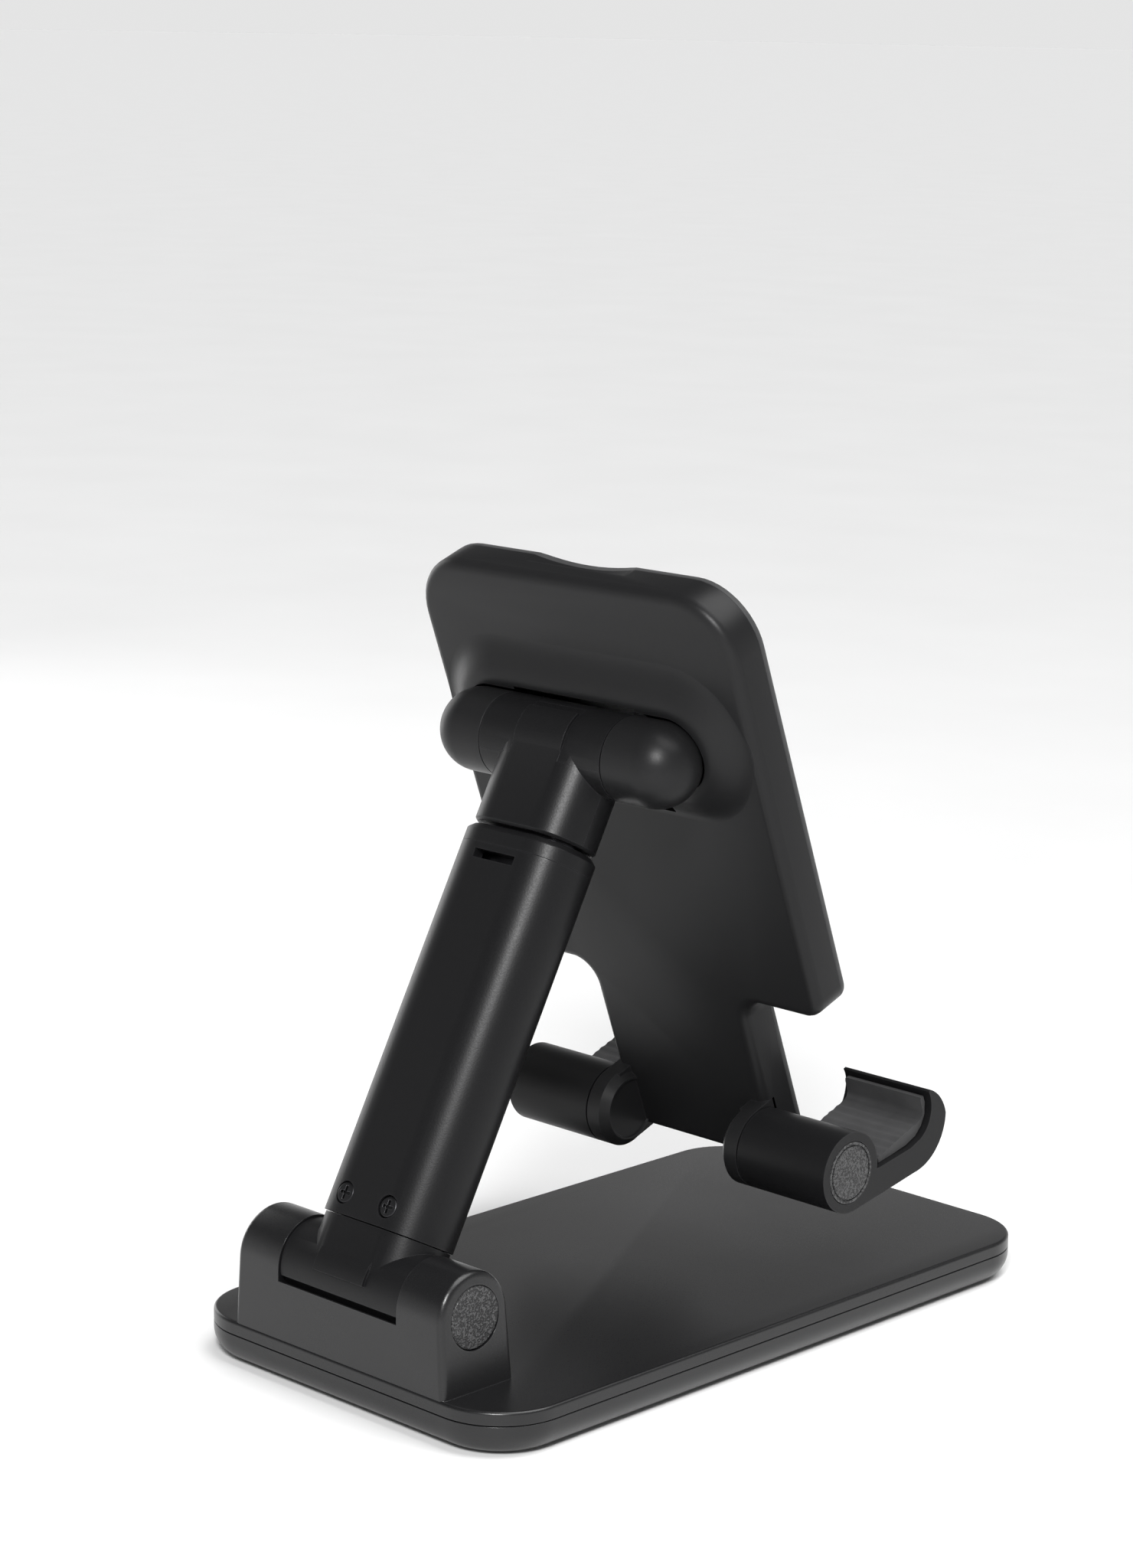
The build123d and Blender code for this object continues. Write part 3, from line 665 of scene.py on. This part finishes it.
def foot_sheet():
    """The silicone sheet under the base, with a rounded rim and a shallow groove inside it."""
    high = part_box("base_foot_pad")[1]
    half_x = high.x / MM
    half_y = high.y / MM
    top = high.z / MM
    profile = [(7.5, 0.05), (6.9, 0.0), (6.6, 0.2), (6.0, 0.2), (5.7, 0.0)]
    profile += [(0.5, 0.0), (0.15, 0.1), (0.0, 0.3), (0.0, top)]
    rings = []
    for inset, z in profile:
        x = half_x - inset
        y = half_y - inset
        radius = max(FOOT_CORNER - inset, 0.8)
        loop = rounded_outline([(x, -y, radius), (x, y, radius), (-x, y, radius), (-x, -y, radius)])
        rings.append([(p.x, p.y, z) for p in loop])
    sheet = mesh_object("foot_sheet", loft(rings, lambda x, y, z: Vector((x, y, z)) * MM))
    sheet.data.shade_smooth()
    sheet.data.set_sharp_from_angle(angle=radians(35))
    join_frame(sheet, "base_foot_pad")


# ---------------------------------------------------------------- floor, light and camera

AZIMUTH = 224.0
ELEVATION = 11.8
ROLL = 1.02
DISTANCE = 0.536
TARGET = Vector((0.0139, 0.0, 0.0777))
FOCAL_PER_HEIGHT = 2.3165
SENSOR = 36.0
FLOOR_LIGHT = 0.78
HORIZON_LIGHT = 0.2
OVERHEAD_LIGHT = 0.06
FLOOR_HALF = 40.0


def add_floor():
    """A wide flat pale floor."""

    def build(bm):
        half = FLOOR_HALF
        corners = [(-half, -half), (half, -half), (half, half), (-half, half)]
        bm.faces.new([bm.verts.new((x, y, 0)) for x, y in corners])

    floor = mesh_object("floor", build)
    floor.data.materials.append(pale_floor("floor"))


def add_area(name, place, aim, size, power):
    """A soft rectangular light that faces a point."""
    light = bpy.data.lights.new(name, "AREA")
    light.shape = "RECTANGLE"
    light.size, light.size_y = size
    light.energy = power
    lamp = bpy.data.objects.new(name, light)
    lamp.location = place
    lamp.rotation_euler = (Vector(aim) - Vector(place)).to_track_quat("-Z", "Y").to_euler()
    bpy.context.scene.collection.objects.link(lamp)


def add_sun(name, aim, strength, spread_angle):
    """A distant soft light that shines along a direction."""
    light = bpy.data.lights.new(name, "SUN")
    light.energy = strength
    light.angle = radians(spread_angle)
    lamp = bpy.data.objects.new(name, light)
    lamp.rotation_euler = Vector(aim).to_track_quat("-Z", "Y").to_euler()
    bpy.context.scene.collection.objects.link(lamp)


def add_world():
    """A white surround, brightest near the horizon and darker overhead."""
    world = bpy.data.worlds.new("surround")
    world.use_nodes = True
    tree = world.node_tree
    backdrop = tree.nodes["Background"]
    place = add(tree, "ShaderNodeTexCoord")
    axes = add(tree, "ShaderNodeSeparateXYZ")
    tree.links.new(place.outputs["Generated"], axes.inputs[0])
    band = spread(tree, axes.outputs["Z"], FLOOR_LIGHT, 0.0, 0.12, 0.50)
    sky = spread(tree, axes.outputs["Z"], HORIZON_LIGHT, OVERHEAD_LIGHT, 0.1, 0.7)
    height = combine(tree, "MAXIMUM", band, sky)
    backdrop.inputs["Color"].default_value = (1, 1, 1, 1)
    tree.links.new(height, backdrop.inputs["Strength"])
    bpy.context.scene.world = world


def add_camera():
    """The camera at the photograph's viewing angle."""
    az = radians(AZIMUTH)
    el = radians(ELEVATION)
    back = Vector((sin(az) * cos(el), -cos(az) * cos(el), sin(el)))
    right = Vector((0, 0, 1)).cross(back).normalized()
    up = back.cross(right)
    roll = radians(ROLL)
    right, up = right * cos(roll) + up * sin(roll), up * cos(roll) - right * sin(roll)
    lens = bpy.data.cameras.new("camera")
    lens.sensor_width = SENSOR
    lens.lens = FOCAL_PER_HEIGHT * SENSOR
    lens.clip_start = 0.01
    camera = bpy.data.objects.new("camera", lens)
    place = Matrix((right, up, back)).transposed().to_4x4()
    place.translation = TARGET + back * DISTANCE
    camera.matrix_world = place
    bpy.context.scene.collection.objects.link(camera)
    bpy.context.scene.camera = camera


add_camera()
add_world()
add_floor()
add_sun("sun", aim=(0.35, 0.25, -1.0), strength=2.9, spread_angle=50)
add_area("key", place=(-0.32, 0.42, 0.42), aim=(0, 0, 0.08), size=(0.14, 0.14), power=4.2)
add_area("rim", place=(0.55, -0.05, 0.14), aim=(0, 0, 0.07), size=(0.25, 0.40), power=0.6)
bpy.context.scene.view_settings.view_transform = "Standard"

for node, width in FINISHED.items():
    refine(node, width * MM)
plate_shell()
plate_pad()
hook_liner(1)
hook_liner(-1)
foot_sheet()

for node, piece in frame["nodes"].items():
    paint(piece, SLOT_OF[node])
